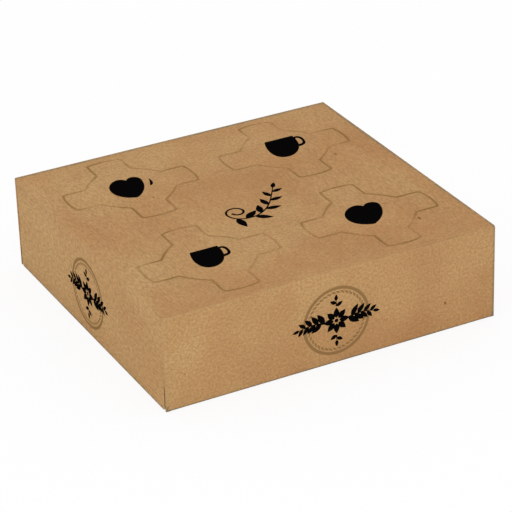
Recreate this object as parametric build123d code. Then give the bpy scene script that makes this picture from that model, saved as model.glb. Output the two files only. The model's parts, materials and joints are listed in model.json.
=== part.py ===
from build123d import *
import os

# Carrier for four take-away cups, folded from one sheet of kraft board and glued at its corners and base.
# Millimetres. The front is -Y, up is +Z, and the origin is the middle of the underside.

# Board
board = 1.2               # thickness of the sheet
fold_inside = 0.2         # inside radius of every fold
seam_gap = 0.5            # open line between an end wall and the long wall beside it
edge_lift = 0.5           # raw lower edges stop this far above the floor

# Box
height = 63.0             # floor to the outer face of the top panel
end_margin = 14.0         # from a knock-out to the left or right end of the top panel
side_margin = 9.0         # from a knock-out to the front or back of the top panel

# Knock-outs for the cups
cup_pitch = 110.0         # from one cup's centre to the next, both ways
knockout_span = 87.0      # across two opposite arms
knockout_body = 55.4      # across the middle, from one bowed side to the opposite one
body_bow = 60.0           # radius of the middle's bowed sides, which face between the arms
arm_width = 23.5          # width of an arm, between its parallel sides
rule_bend = 1.5           # radius through which the die's rule turns at a corner
cut_width = 0.5           # width that the die's rule leaves open
nick_width = 1.2          # uncut bridge that holds a knock-out until it is pushed in

# Corner tabs, two on each end wall, glued behind the long walls
tab_length = 30.0         # from the outer face of the end wall to the tip
tab_taper = 8.0           # how much each edge of a tab draws in towards its tip
tab_foot = 20.0           # from the floor to the lower edge of a tab
tab_head = 6.0            # from the outer face of the top panel to the upper edge of a tab
corner_cut = 1.8          # cut-off lower corners of the end walls

# Base flaps, glued inside the back wall and the end walls
rear_flap = 18.0          # height of the flap behind the base
end_flap = 16.0           # height of the flaps at the ends of the base
flap_mitre = 12.0         # how much each end of a flap draws in towards its free edge
flap_clearance = 1.0      # from the end of a flap to the fold beside it

# Worked out from the sizes above
fold_outside = fold_inside + board
length = cup_pitch + knockout_span + 2 * end_margin
width = cup_pitch + knockout_span + 2 * side_margin
half_length = length / 2
half_width = width / 2
inner_half_length = half_length - board
inner_half_width = half_width - board
base_half_length = inner_half_length - fold_outside
base_rear = inner_half_width - fold_outside
tab_height = height - tab_head - tab_foot


def bent_section(*corners):
    """Section of the board along outer corners that all turn left, with its thickness on the inside."""
    outer_face = FilletPolyline(*corners, radius=fold_outside)
    return make_face(offset(outer_face, amount=board, side=Side.LEFT).edges())


def through_x(outline):
    """Prism along X of an outline drawn in (Y, Z), past both ends of the box."""
    return extrude(Plane.YZ * outline, amount=length, both=True)


def through_y(outline):
    """Prism along Y of an outline drawn in (X, Z), past the front and back of the box."""
    return extrude(Plane.XZ * outline, amount=width, both=True)


def flap_outline(fold_line, draw_in, reach):
    """Flat outline of a flap: straight past its fold, then drawing in at both ends to its free edge."""
    at_fold = fold_line / 2
    at_edge = at_fold - draw_in
    return make_face(
        Polyline(
            (-at_fold, 0),
            (at_fold, 0),
            (at_fold, fold_outside),
            (at_edge, reach),
            (-at_edge, reach),
            (-at_fold, fold_outside),
            close=True,
        )
    )


def make_sleeve():
    """Back wall, top panel, front wall and base, one after the other round folds along X."""
    back_edge = (half_width, edge_lift)
    back_fold = (half_width, height)
    front_fold = (-half_width, height)
    around = bent_section(back_edge, back_fold, front_fold, (-half_width, 0), (base_rear, 0))
    sleeve = extrude(Plane.YZ * around, amount=base_half_length, both=True)

    # Past the ends of the base, the front wall runs straight down to a raw edge.
    over = bent_section(back_edge, back_fold, front_fold, (-half_width, edge_lift))
    sleeve_end = extrude(Plane.YZ.offset(base_half_length) * over, amount=half_length - base_half_length)
    sleeve += sleeve_end + mirror(sleeve_end, about=Plane.YZ)

    # The folds over the end walls also round the upper corners of the long walls.
    silhouette = Rectangle(length, height, align=(Align.CENTER, Align.MIN))
    silhouette = fillet(silhouette.vertices().group_by(Axis.Y)[-1], fold_outside)
    return sleeve & through_y(silhouette)


def make_rear_flap():
    """Flap turned up behind the base and glued inside the back wall."""
    section = bent_section((0, 0), (inner_half_width, 0), (inner_half_width, rear_flap))
    strip = extrude(Plane.YZ * section, amount=base_half_length, both=True)
    outline = flap_outline(2 * (base_half_length - flap_clearance), flap_mitre, rear_flap)
    return strip & through_y(outline)


def make_end_flap():
    """Flap turned up at the right end of the base and glued inside the end wall."""
    section = bent_section((0, 0), (inner_half_length, 0), (inner_half_length, end_flap))
    strip = extrude(Plane.XZ * section, amount=base_rear, both=True)
    outline = flap_outline(2 * (base_rear - flap_clearance), flap_mitre, end_flap)
    return strip & through_x(outline)


def make_end_wall():
    """Right end wall, folded down from the top panel, with its lower corners cut off."""
    half_wall = inner_half_width - seam_gap
    section = bent_section((half_length, edge_lift), (half_length, height), (0, height))
    wall = extrude(Plane.XZ * section, amount=half_wall, both=True)
    outline = Rectangle(2 * half_wall, height - edge_lift, align=(Align.CENTER, Align.MIN))
    outline = chamfer(outline.vertices().group_by(Axis.Y)[0], corner_cut)
    return wall & through_x(Pos(0, edge_lift) * outline)


def make_corner_tabs():
    """Stretch of the right end wall that bends round in plan into two tabs, glued behind the long walls."""
    tab_tip = half_length - tab_length
    plan = bent_section(
        (tab_tip, -inner_half_width),
        (half_length, -inner_half_width),
        (half_length, inner_half_width),
        (tab_tip, inner_half_width),
    )
    outline = Rot(0, 0, 90) * flap_outline(tab_height, tab_taper, tab_length)
    return extrude(plan, amount=height) & through_y(Pos(half_length, tab_foot + tab_height / 2) * outline)


def make_right_end():
    """End wall with its corner tabs, whose rounded folds take the place of the wall's square edges."""
    bent_stretch = Box(board, width, tab_height, align=(Align.MAX, Align.CENTER, Align.MIN))
    wall = make_end_wall() - Pos(half_length, 0, tab_foot) * bent_stretch
    return wall + make_corner_tabs() + make_end_flap()


def knockout_outline(growth):
    """A middle with bowed sides and four arms that end on one circle, drawn growth outside the cut line."""
    arm = Rectangle(knockout_span, arm_width)
    arms = (arm + Rot(0, 0, 90) * arm) & Rot(0, 0, 45) * Circle(knockout_span / 2)
    side = Pos(knockout_body / 2 - body_bow, 0) * Rot(0, 0, 180) * Circle(body_bow)
    body = Rot(0, 0, 45) * side
    for angle in (135, 225, 315):
        body &= Rot(0, 0, angle) * side
    outline = arms + body
    outline = fillet(outline.vertices(), rule_bend)
    return offset(outline, amount=growth)


def make_knockout_cut():
    """The die's cut round one knock-out, left whole at eight nicks."""
    cut = knockout_outline(cut_width / 2) - knockout_outline(-cut_width / 2)
    for angle in (0, 45, 90, 135):
        cut -= Rot(0, 0, angle) * Rectangle(2 * knockout_span, nick_width)
    return extrude(Plane.XY.offset(height - board) * cut, amount=board)


def make_carrier():
    """The folded carrier as one solid."""
    right_end = make_right_end()
    carrier = make_sleeve() + make_rear_flap() + right_end + mirror(right_end, about=Plane.YZ)
    knockout_cut = make_knockout_cut()
    for cup in GridLocations(cup_pitch, cup_pitch, 2, 2):
        carrier -= cup * knockout_cut
    return carrier


os.makedirs("parts", exist_ok=True)
export_step(make_carrier(), "parts/carrier.step")
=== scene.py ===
"""Finishes a folded carrier for four take-away cups: kraft board, pressed cuts, prints and a plain stage."""

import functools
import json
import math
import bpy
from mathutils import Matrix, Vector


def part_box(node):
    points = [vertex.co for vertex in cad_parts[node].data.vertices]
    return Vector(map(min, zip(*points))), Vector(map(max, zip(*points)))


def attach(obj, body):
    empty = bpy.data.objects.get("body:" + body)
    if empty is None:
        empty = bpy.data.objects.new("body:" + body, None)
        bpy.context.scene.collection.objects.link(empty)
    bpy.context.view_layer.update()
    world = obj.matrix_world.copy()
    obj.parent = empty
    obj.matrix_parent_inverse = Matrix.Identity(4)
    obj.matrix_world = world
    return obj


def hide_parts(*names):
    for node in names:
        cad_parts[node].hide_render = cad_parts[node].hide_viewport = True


bl_info = {
    "name": "Folded cup carrier",
    "version": (1, 0, 0),
    "blender": (4, 5, 0),
    "location": "3D View > Sidebar > Carrier",
    "description": "Gives a folded cup carrier its kraft board, pressed cut lines, prints and stage",
    "category": "Object",
}

import bmesh
import bpy
from bpy.props import FloatProperty, FloatVectorProperty, PointerProperty
from bpy.types import Operator, Panel, PropertyGroup
from mathutils import Matrix, Vector

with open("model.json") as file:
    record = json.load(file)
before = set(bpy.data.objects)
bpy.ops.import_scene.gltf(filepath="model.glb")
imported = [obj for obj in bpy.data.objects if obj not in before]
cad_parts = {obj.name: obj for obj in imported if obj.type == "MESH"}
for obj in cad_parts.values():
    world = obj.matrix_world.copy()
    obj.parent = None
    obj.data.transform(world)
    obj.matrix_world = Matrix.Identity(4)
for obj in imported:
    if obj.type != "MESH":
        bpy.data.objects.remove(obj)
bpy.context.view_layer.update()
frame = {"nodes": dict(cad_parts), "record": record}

# Places that the frame gives, in metres. The front is -Y and the origin is the middle of the underside.
NODE = "carrier"
BODY = "root"
BOARD_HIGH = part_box(NODE)[1]
HALF_LENGTH = BOARD_HIGH.x
HALF_WIDTH = BOARD_HIGH.y
HEIGHT = BOARD_HIGH.z
SEAT_PREFIX = "cup_seat_"
SEATS = {
    mount["name"].removeprefix(SEAT_PREFIX): Vector(mount["pos_m"])
    for mount in frame["record"]["mounts"]
    if mount["name"].startswith(SEAT_PREFIX)
}
MM = 0.001
AXIS_X = Vector((1, 0, 0))
AXIS_Y = Vector((0, 1, 0))
AXIS_Z = Vector((0, 0, 1))

# Depths from the box's outside that tell where a point lies: on a wall, on the flat of the top panel, in the
# top panel's board or along an edge.
WALL_DEPTH = 2.5 * MM
FLAT_DEPTH = 0.3 * MM
BOARD_DEPTH = 1.0 * MM
EDGE_DEPTH = 4.0 * MM

# Stretch below the top's face over which the bend of a fold turns down to its wall.
BEND_HEAD = 0.2 * MM
BEND_FOOT = 1.4 * MM

# Fineness of the meshes
WELD = 1e-7
CAD_WELD = 1e-6
FLAT_TURN = math.radians(0.2)
SHARP_TURN = math.radians(35)
CURVE_STEPS = 20
ARC_STEPS = 10
BEND_STEPS = 4
LEAF_POINTS = 28
BEAD_POINTS = 8
STEM_STEPS = 24
COIL_STEPS = 120

# Larger specks of bark that show in the liner: place and half width.
BARK_SPECKS = (
    (Vector((79.5 * MM, 30.9 * MM, HEIGHT)), 0.95 * MM),
    (Vector((78.5 * MM, -75.0 * MM, HEIGHT)), 1.15 * MM),
    (Vector((77.3 * MM, -HALF_WIDTH, 19.5 * MM)), 1.15 * MM),
)

# Seat prints: motif, offset from the seat's middle and size over all, in millimetres, and sideways lean.
SEAT_PRINTS = {
    "back_left": ("heart", (-0.75, -0.05), (24.3, 28.8), 0.09),
    "back_right": ("cup", (0.45, 1.85), (20.6, 26.7), 0.245),
    "front_left": ("cup", (-0.7, -0.2), (18.5, 23.1), 0.185),
    "front_right": ("heart", (-1.0, 1.3), (27.0, 27.6), 0.175),
}

# Loose fleck of ink beside one heart: seat and offset from the seat's middle, in millimetres.
FLECK_SEAT = "back_left"
FLECK_OFFSET = (13.6, 1.4)

# Sockets of node groups
FLOAT = "NodeSocketFloat"
WHOLE = "NodeSocketInt"
VECTOR = "NodeSocketVector"
GEOMETRY = "NodeSocketGeometry"
MATERIAL = "NodeSocketMaterial"

# Sockets of a Mix node that mixes colours
MIX_FACTOR = 0
MIX_BASE = 6
MIX_COLOUR = 7
MIX_RESULT = 2


def length_property(label, description, millimetres):
    """Length that a user may change, kept in metres."""
    return FloatProperty(
        name=label, description=description, default=millimetres * MM, min=0.0, unit="LENGTH", precision=5
    )


def colour_property(label, description, default):
    """Plain surface colour that a user may change."""
    return FloatVectorProperty(
        name=label, description=description, default=default, min=0.0, max=1.0, size=3, subtype="COLOR"
    )


def share_property(label, description, default):
    """Strength from none to full that a user may change."""
    return FloatProperty(
        name=label, description=description, default=default, min=0.0, max=1.0, subtype="FACTOR"
    )


def number_property(label, description, default):
    """Plain number that a user may change."""
    return FloatProperty(name=label, description=description, default=default, min=0.0)


def range_property(label, description, least, most):
    """Least and greatest strength that a user may change."""
    return FloatVectorProperty(
        name=label, description=description, default=(least, most), min=0.0, max=1.0, size=2
    )


def angle_property(label, description, degrees):
    """Angle that a user may change."""
    return FloatProperty(
        name=label, description=description, default=math.radians(degrees), subtype="ANGLE"
    )


def place_property(label, description, *millimetres):
    """Place that a user may change, kept in metres."""
    return FloatVectorProperty(
        name=label, description=description, default=[part * MM for part in millimetres],
        size=len(millimetres), subtype="TRANSLATION", unit="LENGTH", precision=5,
    )


class KraftSettings(PropertyGroup):
    """Finish of the board."""

    colour: colour_property("Board colour", "Liner that shows through a print", (0.462, 0.2705, 0.1195))
    yellow: colour_property("Yellow pulp", "Liner where the pulp is yellowest", (0.596, 0.371, 0.163))
    red: colour_property("Red pulp", "Liner where the pulp is reddest", (0.515, 0.262, 0.106))
    pale_fibre: colour_property("Pale fibres", "Colour of the palest fibres", (0.64, 0.43, 0.23))
    dark_fibre: colour_property("Dark fibres", "Colour of the darkest fibres", (0.26, 0.135, 0.052))
    speck: colour_property("Specks", "Colour of bark specks in the pulp", (0.17, 0.068, 0.022))
    # Colour of the cut lines: liner that the die pressed, with painted shade of the slit.
    crushed_and_shaded: colour_property("Crushed edges", "Liner that the die has crushed", (0.245, 0.128, 0.034))
    # Colour of the painted shade along the edges, strongest at the foot.
    edge_shade: colour_property("Handled edges", "Liner that painted shade has darkened", (0.205, 0.162, 0.098))
    seam: colour_property("Seams", "Shaded liner in an open corner seam", (0.085, 0.045, 0.018))

    blotch_size: length_property("Blotch size", "Width of the soft colour blotches", 30)
    mottle_size: length_property("Mottle size", "Width of the fine mottling", 1.6)
    grain: number_property("Grain", "How much longer than wide the pulp's marks are, along Y", 2.2)
    fibre_length: length_property("Fibre length", "Length of a fibre in the liner", 2.6)
    fibre_width: length_property("Fibre width", "Width of a fibre in the liner", 0.16)
    fleck_spacing: length_property("Fleck spacing", "Mean distance between fine dark flecks", 24)
    shade_strength: share_property("Shade", "Strength of the soft darker blotches", 0.10)
    mottle_strength: share_property("Mottle", "Strength of the fine mottling", 0.56)
    fibre_strength: share_property("Fibres", "Strength of the pale and the dark fibres", 0.30)
    speck_strength: share_property("Bark", "Strength of the bark specks and the flecks", 0.80)

    blotch_redness: share_property("Blotch redness", "How much redder the blotches are", 0.38)
    right_redness: share_property("Right redness", "How much redder the sheet is at the right end", 0.30)
    # Painted shade: the walls turn redder and darker towards their foot at the right.
    low_painted_shade: share_property("Low redness", "How much more that is at the foot of the walls", 0.35)
    low_start: share_property("Low start", "Share of the height under which the walls turn redder", 0.70)
    band_redness: share_property("Band redness", "How much redder the bands across the top are", 0.44)
    band_pitch: length_property("Band pitch", "From one redder band across the top to the next", 118)
    band_place: length_property("Band place", "Middle of a redder band, behind the top panel's middle", 22)
    band_slant: number_property("Band slant", "How far back the bands run for each length to the right", 0.14)

    # Paler band along the folds: partly wear, partly a painted highlight.
    wear_and_highlight_reach: length_property("Wear reach", "How far the rubbed liner reaches from a fold", 2.4)
    wear_and_highlight_strength: range_property("Along Folds", "Strength of the rubbed liner, in patches", 0.03, 0.13)
    # Painted shade in a narrow band on the folds.
    crease_shade_reach: length_property("Crease reach", "How far a dark crease reaches from a fold", 1.2)
    crease_shade_strength: range_property("Crease", "Strength of the dark creases, in patches", 0.12, 0.72)
    crease_shade_share: range_property("Crease share", "Share of it on most folds and on the long ones", 0.3, 1.0)
    # Painted shade along the top's back and right edges, along the walls' edges and most of all at the foot.
    edge_shade_back: length_property("Handled back", "How far darkened liner reaches from the top's back", 4.4)
    edge_shade_end: length_property("Handled end", "How far darkened liner reaches from the top's right end", 2.7)
    edge_shade_wall: length_property("Handled wall", "How far darkened liner reaches from an edge on a wall", 2.3)
    edge_shade_strength: range_property("Shadowed", "Strength of the darkened liner, in patches", 0.08, 0.94)
    edge_shade_wide_share: share_property("Handled shade", "Share of the wide patches in the darkened liner", 0.35)
    foot_shade_share: number_property("Foot share", "Share of the darkened liner's strength at the foot", 1.40)
    right_share: number_property("Right share", "Share of that strength on the walls' right edges", 0.85)
    other_share: number_property("Other share", "Share of that strength on the walls' other edges", 0.35)

    # Reach and strength of the cut lines' colour, which paints the slit's shade too.
    crush_and_shade_reach: length_property("Crush reach", "How far crushed liner reaches from a cut", 1.35)
    crush_and_shade_strength: range_property("Crush", "Strength of the crushed liner, in patches", 0.16, 0.86)
    crush_depth: number_property("Crush depth", "Depth of a crushed cut, in depths of the relief", 1.2)
    seam_inset: length_property("Seam inset", "From a long wall's face to the seam beside it", 1.45)
    seam_core: length_property("Seam core", "How far a seam's full shade reaches from its middle", 0.2)
    seam_spread: length_property("Seam spread", "How far a seam's shade reaches from its middle", 0.9)
    seam_top: length_property("Seam top", "Height at which the glued tabs close a seam", 19)
    seam_top_fade: length_property("Seam top fade", "Stretch over which a seam fades in under its top", 4.75)
    seam_foot: length_property("Seam foot", "Height over the floor down to which a seam is full", 3)
    seam_foot_fade: length_property("Seam foot fade", "Stretch over which a seam fades out at its foot", 1.2)
    seam_strength: share_property("Seam strength", "Strength of the shade in a seam", 0.90)

    roughness: range_property("Roughness", "Roughness of the liner, over its mottling", 0.80, 0.92)
    gloss: share_property("Gloss", "Specular level of the liner", 0.08)
    relief_depth: length_property("Relief depth", "Depth of the liner's fine relief", 0.06)
    relief_strength: share_property("Relief", "Strength of the liner's fine relief", 0.5)
    edge_softness: length_property("Edge softness", "Rounding of the board's cut edges", 0.14)


class CutSettings(PropertyGroup):
    """Knock-out that a cup is pushed through."""

    span: length_property("Span", "Across two opposite arms", 87)
    body: length_property("Body", "Across the middle, from one bowed side to the opposite one", 55.4)
    body_bow: length_property("Body bow", "Radius of the middle's bowed sides", 60)
    arm_width: length_property("Arm width", "Between the parallel sides of an arm", 23.5)
    rule_bend: length_property("Rule bend", "Radius through which the die's rule turns at a corner", 1.5)
    cut_width: length_property("Cut width", "Width that the die's rule leaves open", 0.5)
    bend_blend: number_property("Bend blend", "Reach of the crushed liner's soft corners, in rule bends", 1.8)
    lip_width: length_property("Lip width", "Width of the liner turned up beside a cut", 0.48)
    lip_gap: length_property("Lip gap", "Opening left between the two lips", 0.01)
    lip_height: length_property("Lip height", "How far a lip stands over the liner", 0.05)


class PrintSettings(PropertyGroup):
    """Inks and figures."""

    black: colour_property("Black ink", "Colour of the black print", (0.0022, 0.0019, 0.0021))
    brown: colour_property("Brown ink", "Colour of the grey-brown print", (0.270, 0.155, 0.062))
    black_cover: share_property("Black cover", "How well the black ink covers the fibres", 0.99)
    brown_cover: share_property("Brown cover", "How well the brown ink covers the fibres", 0.55)
    film: length_property("Film", "Thickness of the black print, half of it sunk in the liner", 0.06)
    under_film: length_property("Under film", "Thickness of the brown print, which the black crosses", 0.03)
    roughness: range_property("Roughness", "Roughness of the prints, over the mottling", 0.62, 0.76)
    relief_depth: length_property("Relief depth", "Depth of the liner's relief under a print", 0.05)
    relief_strength: share_property("Relief", "Strength of the liner's relief under a print", 0.4)
    handle_reach: share_property("Handle reach", "How far a handle stands out, in halves of its cup", 0.61)
    handle_stroke: length_property("Handle stroke", "Width of a handle's line", 1.9)
    badge_radius: length_property("Badge radius", "Outer radius of a wall badge's ring", 22.8)
    ring_stroke: length_property("Ring stroke", "Width of the badge's ring", 2.0)
    wreath_inset: length_property("Wreath inset", "From the ring's inside to the wreath of leaves", 2.4)
    front_place: place_property("Front badge", "Middle of the front badge, along X and Z", 1.5, 29.0)
    left_place: place_property("Left badge", "Middle of the left badge, along Y and Z", -0.6, 29.0)
    sprig_place: place_property("Sprig", "Middle of the sprig on the top panel, along X and Y", 2.5, -8.0)
    sprig_length: length_property("Sprig length", "Length of the sprig's stem along its curl", 92)
    sprig_heading: angle_property("Sprig heading", "Direction of the sprig's tip, from X", 58)
    sprig_coil: angle_property("Sprig coil", "Turn of the sprig's stem from its foot to its tip", 500)


class StageSettings(PropertyGroup):
    """Camera, lights and floor."""

    azimuth: angle_property("Azimuth", "Camera's turn about the carrier", -26.79)
    elevation: angle_property("Elevation", "Camera's height over the floor", 27.50)
    roll: angle_property("Roll", "Camera's turn about its own line of sight", -1.96)
    distance: length_property("Distance", "From the camera to the carrier's middle", 1558.9)
    focal_length: FloatProperty(
        name="Focal length", description="Camera's focal length", default=174.46, unit="CAMERA"
    )
    shift: FloatVectorProperty(
        name="Shift", description="Shift of the picture's middle", size=2, default=(0.0114, -0.0201)
    )
    sky: number_property("Sky", "Strength of the even white light", 0.93)
    key_power: FloatProperty(
        name="Key power", description="Power of the large soft lamp", default=3.4, min=0.0, unit="POWER"
    )
    key_size: length_property("Key size", "Width of the large soft lamp", 1200)
    key_place: place_property("Key place", "Middle of the large soft lamp", -700, -1300, 850)
    floor_size: length_property("Floor size", "Length and width of the floor", 12000)
    floor_drop: length_property("Floor drop", "From the carrier's underside down to the floor", 0.05)
    floor_colour: colour_property("Floor", "Colour of the plain floor", (0.97, 0.97, 0.97))
    floor_roughness: share_property("Floor roughness", "Roughness of the plain floor", 0.9)
    floor_white: share_property("Floor white", "Share of plain white in what is seen of the floor", 0.88)


# Node helpers

class Wire:
    """What a node gives out. Arithmetic on wires that carry numbers adds Math nodes to their tree."""

    def __init__(self, socket):
        self.socket = socket
        self.tree = socket.id_data

    def __add__(self, other):
        return calculate("ADD", self, other)

    def __sub__(self, other):
        return calculate("SUBTRACT", self, other)

    def __rsub__(self, other):
        return calculate("SUBTRACT", other, self)

    def __mul__(self, other):
        return calculate("MULTIPLY", self, other)

    def __truediv__(self, other):
        return calculate("DIVIDE", self, other)

    def __rtruediv__(self, other):
        return calculate("DIVIDE", other, self)

    def __mod__(self, other):
        return calculate("MODULO", self, other)

    def __abs__(self):
        return calculate("ABSOLUTE", self)

    def __lt__(self, other):
        return calculate("LESS_THAN", self, other)

    def __gt__(self, other):
        return calculate("GREATER_THAN", self, other)


def tree_of(values):
    """Tree of the first wire among some values."""
    return next(value.tree for value in values if isinstance(value, Wire))


def add_node(tree, kind, inputs=None, **options):
    """Adds a node, sets its options, and wires or sets its inputs by name or number."""
    node = tree.nodes.new(kind)
    for option, value in options.items():
        setattr(node, option, value)
    for key, value in (inputs or {}).items():
        if isinstance(value, Wire):
            tree.links.new(value.socket, node.inputs[key])
        else:
            node.inputs[key].default_value = value
    return node


def output_of(tree, kind, inputs=None, output=0, **options):
    """Wire from one output of a new node."""
    return Wire(add_node(tree, kind, inputs, **options).outputs[output])


def calculate(operation, *values):
    """Result of one Math node on wires and plain numbers."""
    return output_of(tree_of(values), "ShaderNodeMath", dict(enumerate(values)), operation=operation)


def smaller(first, *others):
    """Smallest of several numbers."""
    for other in others:
        first = calculate("MINIMUM", first, other)
    return first


def larger(first, *others):
    """Largest of several numbers."""
    for other in others:
        first = calculate("MAXIMUM", first, other)
    return first


def ramp(value, start, end, kind="SMOOTHSTEP"):
    """0 to 1 as a number goes from start to end."""
    inputs = {"Value": value, "From Min": start, "From Max": end}
    return output_of(value.tree, "ShaderNodeMapRange", inputs, interpolation_type=kind)


def between(limits, share):
    """Least to greatest strength as a share goes from 0 to 1."""
    least, most = limits
    return share * (most - least) + least


def parts_of(vector):
    """X, Y and Z of a vector."""
    return [Wire(part) for part in add_node(vector.tree, "ShaderNodeSeparateXYZ", {0: vector}).outputs]


def vector_of(*parts):
    """Vector of wires and plain numbers."""
    return output_of(tree_of(parts), "ShaderNodeCombineXYZ", dict(enumerate(parts)))


def vector_math(operation, first, second=(0.0, 0.0, 0.0), output="Vector"):
    """Result of one Vector Math node."""
    inputs = {0: first, 1: second}
    return output_of(first.tree, "ShaderNodeVectorMath", inputs, output, operation=operation)


def lay_over(base, colour, mask):
    """Base colour with another colour laid over it as strongly as a mask says."""
    inputs = {MIX_FACTOR: mask}
    for socket, value in ((MIX_BASE, base), (MIX_COLOUR, colour)):
        inputs[socket] = value if isinstance(value, Wire) else (*value, 1.0)
    return output_of(mask.tree, "ShaderNodeMix", inputs, MIX_RESULT, data_type="RGBA")


def join_geometry(*parts):
    """One geometry of several."""
    tree = tree_of(parts)
    node = tree.nodes.new("GeometryNodeJoinGeometry")
    for part in parts:
        tree.links.new(part.socket, node.inputs[0])
    return Wire(node.outputs[0])


def start_group(name, kind, inputs, outputs):
    """New node group with inputs {name: (type, default)} and outputs {name: type}, and its inputs' wires."""
    tree = bpy.data.node_groups.new(name, kind)
    for label, (socket_type, default) in inputs.items():
        socket = tree.interface.new_socket(label, in_out="INPUT", socket_type=socket_type)
        if default is not None:
            socket.default_value = default
    for label, socket_type in outputs.items():
        tree.interface.new_socket(label, in_out="OUTPUT", socket_type=socket_type)
    given = tree.nodes.new("NodeGroupInput").outputs
    return tree, {label: Wire(given[label]) for label in inputs}


def place_group(tree, group, inputs):
    """Wires by name from a group placed in a tree with its own values."""
    kind = "GeometryNodeGroup" if tree.bl_idname == "GeometryNodeTree" else "ShaderNodeGroup"
    node = add_node(tree, kind, inputs, node_tree=group)
    return {output.name: Wire(output) for output in node.outputs}


def built_once(collection, name):
    """Makes a function give back the data block of this name, and build it only where there is none yet."""
    def decorate(build):
        @functools.wraps(build)
        def find_or_build(*details):
            blocks = getattr(bpy.data, collection)
            return blocks[name] if name in blocks else build(name, *details)
        return find_or_build
    return decorate


# Shared surface effects

@built_once("node_groups", "unfold_sheet")
def unfold_group(name):
    """Where a point lies on the flat sheet, squeezed along Y, so that long marks run on round the folds."""
    inputs = {
        "Vector": (VECTOR, None),
        "Half Length": (FLOAT, HALF_LENGTH),
        "Half Width": (FLOAT, HALF_WIDTH),
        "Height": (FLOAT, HEIGHT),
        "Wall Depth": (FLOAT, WALL_DEPTH),
        "Grain": (FLOAT, 1.0),
    }
    tree, given = start_group(name, "ShaderNodeTree", inputs, {"Sheet": VECTOR})
    x, y, z = parts_of(given["Vector"])
    from_end = given["Half Length"] - abs(x)
    from_side = given["Half Width"] - abs(y)
    nearest = smaller(from_end, from_side)
    drop = (given["Height"] - z) * (nearest < given["Wall Depth"])
    on_end = from_end < from_side
    along = x + drop * calculate("SIGN", x) * on_end
    across = y / given["Grain"] + drop * calculate("SIGN", y) * (1.0 - on_end)
    add_node(tree, "NodeGroupOutput", {"Sheet": vector_of(along, across, nearest)})
    return tree


def noise(sheet, size, detail=2.0, roughness=0.5, shift=0.0):
    """Noise of a given feature size over the sheet, about 0.5."""
    moved = vector_math("ADD", sheet, (shift, shift, shift))
    inputs = {"Vector": moved, "Scale": 1.0 / size, "Detail": detail, "Roughness": roughness}
    return output_of(sheet.tree, "ShaderNodeTexNoise", inputs)


def fibre_noise(sheet, length, width, turn, shift):
    """Noise drawn out along one direction of the sheet, which is turned by some degrees."""
    inputs = {"Vector": sheet, "Angle": math.radians(turn)}
    turned = output_of(sheet.tree, "ShaderNodeVectorRotate", inputs, rotation_type="Z_AXIS")
    along, across, depth = parts_of(turned)
    drawn_out = vector_of(along / length + shift, across / width, depth / width)
    inputs = {"Vector": drawn_out, "Scale": 1.0, "Detail": 1.0, "Distortion": 0.4}
    return output_of(sheet.tree, "ShaderNodeTexNoise", inputs)


def fine_flecks(sheet, spacing):
    """Mask of fine flecks with wavy edges, in some cells of the sheet only and each of its own size."""
    wave_scale = 900.0
    wave = 0.8 * MM
    bare_share = 0.35
    largest = 0.022
    tree = sheet.tree
    waves = output_of(tree, "ShaderNodeTexNoise", {"Vector": sheet, "Scale": wave_scale}, "Color")
    wavy = vector_math("ADD", sheet, vector_math("MULTIPLY", waves, (wave, wave, wave)))
    inputs = {"Vector": wavy, "Scale": 1.0 / spacing}
    cells = add_node(tree, "ShaderNodeTexVoronoi", inputs, voronoi_dimensions="2D").outputs
    chance = output_of(tree, "ShaderNodeSeparateColor", {0: Wire(cells["Color"])})
    edge = ramp(chance, bare_share, 1.0, "LINEAR") * largest
    return ramp(Wire(cells["Distance"]), edge, edge * 0.5)


@built_once("node_groups", "pressed_pulp")
def pulp_group(name):
    """Blotches, mottling, fibres and flecks of pressed pulp, and the height that they give the liner."""
    inputs = {
        "Sheet": (VECTOR, None),
        "Blotch Size": (FLOAT, 30 * MM),
        "Mottle Size": (FLOAT, 1.6 * MM),
        "Fibre Length": (FLOAT, 2.6 * MM),
        "Fibre Width": (FLOAT, 0.16 * MM),
        "Fleck Spacing": (FLOAT, 24 * MM),
    }
    labels = ("Blotch", "Shade", "Mottle", "Pale Fibres", "Dark Fibres", "Flecks", "Height")
    tree, given = start_group(name, "ShaderNodeTree", inputs, {label: FLOAT for label in labels})
    sheet = given["Sheet"]

    # Noise under the first limit leaves a mask empty, and over the second limit the mask is full.
    blotch_limits = (0.34, 0.66)
    shade_limits = (0.30, 0.70)
    mottle_limits = (0.28, 0.72)
    fibre_limits = (0.60, 0.76)
    masks = {
        "Blotch": ramp(noise(sheet, given["Blotch Size"], shift=3.1), *blotch_limits),
        "Shade": ramp(noise(sheet, given["Blotch Size"], detail=3.0, shift=7.7), *shade_limits),
        "Mottle": ramp(noise(sheet, given["Mottle Size"], detail=4.0, roughness=0.62), *mottle_limits),
        "Flecks": fine_flecks(sheet, given["Fleck Spacing"]),
    }

    # Pale and dark fibres lie in layers, each with its own turn in degrees and its own shift.
    layers = {
        "Pale Fibres": ((12, 0.0), (-48, 5.3), (71, 9.1)),
        "Dark Fibres": ((-9, 2.2), (38, 7.4), (-77, 4.6)),
    }
    for label, turns in layers.items():
        fibres = []
        for turn, shift in turns:
            drawn_out = fibre_noise(sheet, given["Fibre Length"], given["Fibre Width"], turn, shift)
            fibres.append(ramp(drawn_out, *fibre_limits))
        masks[label] = larger(*fibres)

    mottle_height = 0.55
    pale_fibre_height = 0.45
    dark_fibre_depth = 0.35
    raised = masks["Mottle"] * mottle_height + masks["Pale Fibres"] * pale_fibre_height
    masks["Height"] = raised - masks["Dark Fibres"] * dark_fibre_depth
    add_node(tree, "NodeGroupOutput", masks)
    return tree


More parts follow.
